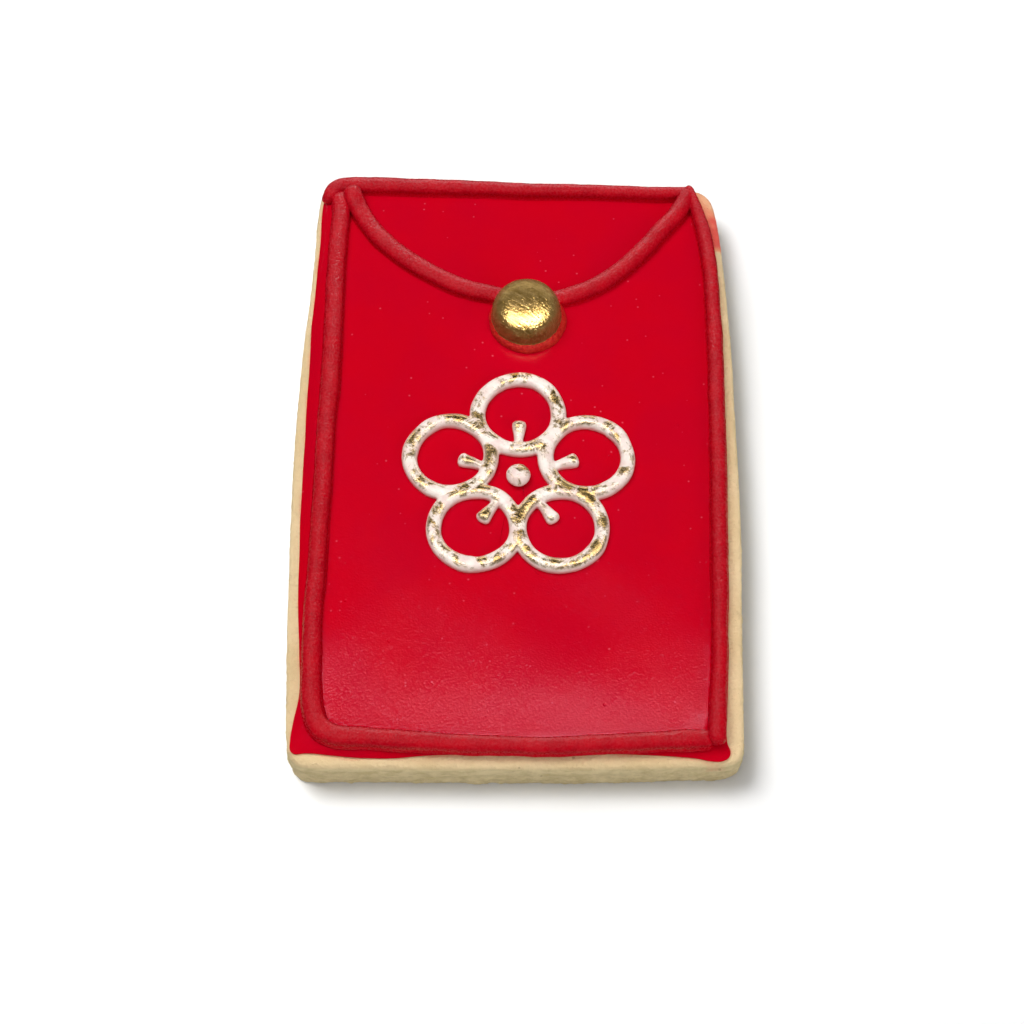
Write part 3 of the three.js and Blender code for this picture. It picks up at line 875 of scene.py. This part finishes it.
def blossom_finish(colours, name):
    """White icing, a little pink where it meets the red, with gold lustre brushed over its ridges."""
    finish, tree, shader, where = new_finish(name)
    level = axis_of(tree, where, "Z")
    tone, rough, streaks = gold_lustre(tree, where, colours)
    clouds = waves(tree, where, 2.2, detail=3.0, roughness=0.6)
    white = tuple(colours.white_icing)
    shaded_white = shade((226, 200, 192))
    foot_pink = shade((226, 120, 126))
    base = mixed(tree, fade(tree, clouds, 0.35, 0.7), white, shaded_white)
    foot_tint = fade(tree, level, (ICING_TOP + 0.75) * MM, (ICING_TOP + 0.05) * MM, 0.0, 0.8)
    base = mixed(tree, foot_tint, base, foot_pink)
    brushed = waves(tree, where, 3.0, detail=6.0, roughness=0.72, distortion=0.5)
    ridge = fade(tree, level, (ICING_TOP + 0.75) * MM, (ICING_TOP + 1.3) * MM)
    share = maths(tree, "MULTIPLY", ridge, fade(tree, brushed, 0.44, 0.58), True)
    put(tree, shader.inputs["Base Color"], mixed(tree, share, base, tone))
    put(tree, shader.inputs["Metallic"], maths(tree, "MULTIPLY", share, 0.95))
    put(tree, shader.inputs["Roughness"], between(tree, share, 0.3, rough))
    shader.inputs["Specular IOR Level"].default_value = 0.5
    grain = waves(tree, where, 0.4, detail=3.0, roughness=0.6)
    relief(tree, shader, maths(tree, "ADD", grain, maths(tree, "MULTIPLY", streaks, 0.5)), 0.08, 0.7)
    return finish


def petal_route(centre, outwards, width, seed):
    """One petal: a loop of piped icing whose two ends meet on its outer side."""
    route = []
    steps = 18
    for k in range(-1, steps + 2):
        angle = outwards + 2 * math.pi * k / steps + 0.35
        across, up = math.cos(angle), math.sin(angle)
        wobble = noise.noise(Vector((across * 1.3, up * 1.3, seed)))
        pressure = noise.noise(Vector((across * 2, up * 2, seed + 4)))
        radius = PETAL_RADIUS * (1 + 0.07 * math.cos(angle - outwards)) * (1 + 0.025 * wobble)
        x, y = centre[0] + radius * across, centre[1] + radius * up
        route.append((x, y, width * (1 + 0.14 * pressure), PETAL_HEIGHT, 0.0))
    return route


def fused(name, skins, fineness, passes):
    """Strokes of wet icing run together: one skin over all of them, smoothed where they meet."""
    whole = bmesh.new()
    for skin in skins:
        stroke = bpy.data.meshes.new("stroke")
        skin.to_mesh(stroke)
        skin.free()
        whole.from_mesh(stroke)
        bpy.data.meshes.remove(stroke)
    mesh = bpy.data.meshes.new(name + "_strokes")
    whole.to_mesh(mesh)
    whole.free()
    strokes = bpy.data.objects.new(name + "_strokes", mesh)
    bpy.context.scene.collection.objects.link(strokes)
    remesh = strokes.modifiers.new("Run together", "REMESH")
    remesh.mode = "VOXEL"
    remesh.voxel_size = fineness
    shown = strokes.evaluated_get(bpy.context.evaluated_depsgraph_get())
    run_together = bpy.data.meshes.new_from_object(shown)
    skin = bmesh.new()
    skin.from_mesh(run_together)
    bpy.data.objects.remove(strokes)
    bpy.data.meshes.remove(mesh)
    bpy.data.meshes.remove(run_together)
    for _ in range(passes):
        bmesh.ops.smooth_vert(
            skin, verts=skin.verts, factor=0.5, use_axis_x=True, use_axis_y=True, use_axis_z=True
        )
    return skin


class COOKIE_OT_pipe_blossom(CookiePiece, bpy.types.Operator):
    """Pipes the plum blossom: five petals, a stamen in each and a bead in the middle"""

    bl_idname = "cookie.pipe_blossom"
    bl_label = "Pipe the plum blossom"

    def execute(self, context):
        shape = self.shape(context)
        middle = np.array(BLOSSOM_CENTRE)
        stroke = {"rough": 0.02, "sink": BLOSSOM_SINK, "foot": BLOSSOM_FILLET}
        skins = []
        for k in range(PETALS):
            outwards = math.pi / 2 + 2 * math.pi * k / PETALS
            ray = np.array((math.cos(outwards), math.sin(outwards)))
            petal = petal_route(middle + PETAL_DISTANCE * ray, outwards, shape.blossom_line_width, 2.1 * k)
            skins.append(piped_line(petal, 0.05, 8.3 + k, step=0.3, **stroke))
            stamen = []
            for share, width, height in STAMEN_STATIONS:
                place = middle + ray * (STAMEN_START + share * (STAMEN_END - STAMEN_START))
                stamen.append((place[0], place[1], width, height, 0.0))
            skins.append(piped_line(stamen, 0.04, 20.3 + k, step=0.2, **stroke))
        skin = fused("plum_blossom", skins, shape.blossom_fineness, 3)
        finish = blossom_finish(self.colours(context), "white_icing")
        finished("plum_blossom", skin, finish, "blossom")
        self.pipe_bead(context, middle)
        return {"FINISHED"}

    def pipe_bead(self, context, middle):
        skin = bmesh.new()
        bmesh.ops.create_uvsphere(skin, u_segments=64, v_segments=40, radius=1.0)
        height = BEAD_TOP - ICING_TOP
        belly = BELLY_SHARE * height
        for vertex in skin.verts:
            x, y, up = vertex.co
            level = up * (height - belly) if up > 0 else up * (belly + BLOSSOM_SINK)
            vertex.co = (middle[0] + BEAD_RADIUS * x, middle[1] + BEAD_RADIUS * y, ICING_TOP + belly + level)
        points = points_of(skin)
        move_out(skin, 0.06 * ripple(points, 1.3) + 0.015 * ripple(points, 0.4))
        finish = blossom_finish(self.colours(context), "gilded_bead")
        finished("blossom_centre", skin, finish, "blossom_bead")


# ------------------------------------------------------------------ stage

# Places of lights, in metres.
MIDDLE = (0.0, 0.0, 0.0)
ABOVE = (-0.15, 0.05, 0.75)
IN_FRONT = (0.8, -0.7, 0.6)
OVER_SHEET = (0.0, 0.1675, 0.7)
OVER_BLOSSOM = (-0.1, 0.095, 0.7)
BEFORE_BUTTON = (-0.1, -0.47, 0.7)


def area_light(name, size, place, aim, power, lit=None, reflected=False):
    """A soft box of light at a place in metres, turned to an aim.

    It either lights things or is only reflected in them; where lit is given, in those pieces alone."""
    lamp = bpy.data.lights.new(name, "AREA")
    lamp.shape = "RECTANGLE"
    lamp.size, lamp.size_y = size
    lamp.energy = power
    holder = bpy.data.objects.new(name, lamp)
    holder.location = place
    holder.rotation_euler = (Vector(aim) - Vector(place)).to_track_quat("-Z", "Y").to_euler()
    holder.visible_glossy = reflected
    holder.visible_diffuse = not reflected
    bpy.context.scene.collection.objects.link(holder)
    if lit:
        group = bpy.data.collections.new(name + "_lights")
        for thing in lit:
            group.objects.link(thing)
        holder.light_linking.receiver_collection = group


def named(pieces, *words):
    """The pieces whose names hold one of the words."""
    return [piece for piece in pieces if any(word in piece.name for word in words)]


def on_table(place):
    """The place right under another."""
    return (place[0], place[1], 0.0)


def table_finish():
    """White table top with a trace of unevenness."""
    finish, tree, shader, where = new_finish("white_table")
    clouds = waves(tree, where, 60.0)
    put(tree, shader.inputs["Base Color"], mixed(tree, clouds, (0.93, 0.93, 0.93), (0.95, 0.95, 0.95)))
    shader.inputs["Roughness"].default_value = 0.9
    shader.inputs["Specular IOR Level"].default_value = 0.1
    return finish


class COOKIE_OT_set_stage(bpy.types.Operator):
    """Sets the white table, the soft lights and the camera"""

    bl_idname = "cookie.set_stage"
    bl_label = "Set the stage"

    def execute(self, context):
        floor = self.lay_table(context)
        cookie = [piece for piece in context.scene.objects if piece.type == "MESH" and piece is not floor]
        self.light_cookie(cookie)
        self.light_table(floor)
        self.set_reflections(cookie)
        world = bpy.data.worlds.new("studio")
        world.use_nodes = True
        put(world.node_tree, world.node_tree.nodes["Background"].inputs["Color"], (0.015, 0.015, 0.015))
        context.scene.world = world
        self.set_camera(context)
        context.scene.view_settings.view_transform = "Standard"
        context.scene.view_settings.look = "None"
        return {"FINISHED"}

    def lay_table(self, context):
        table = bmesh.new()
        bmesh.ops.create_grid(table, x_segments=4, y_segments=4, size=3.0)
        mesh = bpy.data.meshes.new("table")
        table.to_mesh(mesh)
        table.free()
        mesh.materials.append(table_finish())
        floor = bpy.data.objects.new("table", mesh)
        context.scene.collection.objects.link(floor)
        floor.visible_glossy = False
        return floor

    def light_cookie(self, cookie):
        area_light("overhead", (1.3, 0.9), ABOVE, MIDDLE, 7.0, lit=cookie)
        area_light("key", (0.5, 0.5), (-0.3, 0.25, 0.92), MIDDLE, 3.7, lit=cookie)
        area_light("front_fill", (1.0, 0.6), IN_FRONT, MIDDLE, 6.0, lit=cookie)

    def light_table(self, floor):
        area_light("table_overhead", (1.3, 0.5), ABOVE, MIDDLE, 2.6, lit=[floor])
        area_light("table_key", (0.5, 0.5), (-0.44, 0.28, 0.85), MIDDLE, 9.4, lit=[floor])
        area_light("table_fill", (1.0, 0.6), IN_FRONT, MIDDLE, 3.9, lit=[floor])

    def set_reflections(self, cookie):
        """Sets what is seen mirrored in the sheet, the piped lines, the blossom and the button."""
        for name, size, place, aim, power, words in (
            ("strip", (0.42, 0.075), OVER_SHEET, on_table(OVER_SHEET), 1.8, ["red_icing"]),
            ("crests", (0.4, 0.08), (0.0, 0.92, 0.52), MIDDLE, 2.4, ["seam", "flap"]),
            ("glints", (1.6, 0.26), OVER_BLOSSOM, on_table(OVER_BLOSSOM), 6.0, ["blossom"]),
            ("softbox", (1.8, 0.82), BEFORE_BUTTON, on_table(BEFORE_BUTTON), 160.0, ["button"]),
        ):
            area_light(name, size, place, aim, power, lit=named(cookie, *words), reflected=True)
        area_light("back_card", (2.5, 0.5), (0.0, 1.2, 0.45), (0.0, 0.0, 0.45), 9.0, reflected=True)

    def set_camera(self, context):
        elevation = math.radians(62.0)
        turn = math.radians(0.5)
        distance = 276.8
        focal_pixels = 1883.58
        photo_width = 1024
        sensor_width = 36.0
        target = Vector((-0.69, -6.06, 0.0))
        level_back = Vector((math.sin(turn), -math.cos(turn), 0.0)) * math.cos(elevation)
        back = level_back + Vector((0.0, 0.0, math.sin(elevation)))
        lens = bpy.data.cameras.new("camera")
        lens.sensor_width = sensor_width
        lens.lens = sensor_width * focal_pixels / photo_width
        lens.clip_start = 0.01
        lens.clip_end = 20.0
        camera = bpy.data.objects.new("camera", lens)
        camera.location = (target + back * distance) * MM
        camera.rotation_euler = (-back).to_track_quat("-Z", "Y").to_euler()
        context.scene.collection.objects.link(camera)
        context.scene.camera = camera


# ------------------------------------------------------------------ panel and registration


class COOKIE_PT_panel(bpy.types.Panel):
    """Lists the steps of making the cookie"""

    bl_idname = "COOKIE_PT_panel"
    bl_label = "Envelope cookie"
    bl_space_type = "VIEW_3D"
    bl_region_type = "UI"
    bl_category = "Cookie"

    def draw(self, context):
        for group in (context.scene.cookie_shape, context.scene.cookie_colours):
            column = self.layout.column(align=True)
            for name in group.__annotations__:
                column.prop(group, name)
        for step in STEPS:
            self.layout.operator(step.bl_idname)


STEPS = (
    COOKIE_OT_bake_dough,
    COOKIE_OT_spread_icing,
    COOKIE_OT_pipe_seams,
    COOKIE_OT_set_button,
    COOKIE_OT_pipe_blossom,
    COOKIE_OT_set_stage,
)
CLASSES = (CookieShape, CookieColours, *STEPS, COOKIE_PT_panel)


def register():
    for cls in CLASSES:
        bpy.utils.register_class(cls)
    bpy.types.Scene.cookie_shape = PointerProperty(type=CookieShape)
    bpy.types.Scene.cookie_colours = PointerProperty(type=CookieColours)


def unregister():
    del bpy.types.Scene.cookie_colours
    del bpy.types.Scene.cookie_shape
    for cls in reversed(CLASSES):
        bpy.utils.unregister_class(cls)


def main():
    register()
    bpy.ops.cookie.bake_dough()
    bpy.ops.cookie.spread_icing()
    bpy.ops.cookie.pipe_seams()
    bpy.ops.cookie.set_button()
    bpy.ops.cookie.pipe_blossom()
    bpy.ops.cookie.set_stage()


if __name__ == "__main__":
    main()
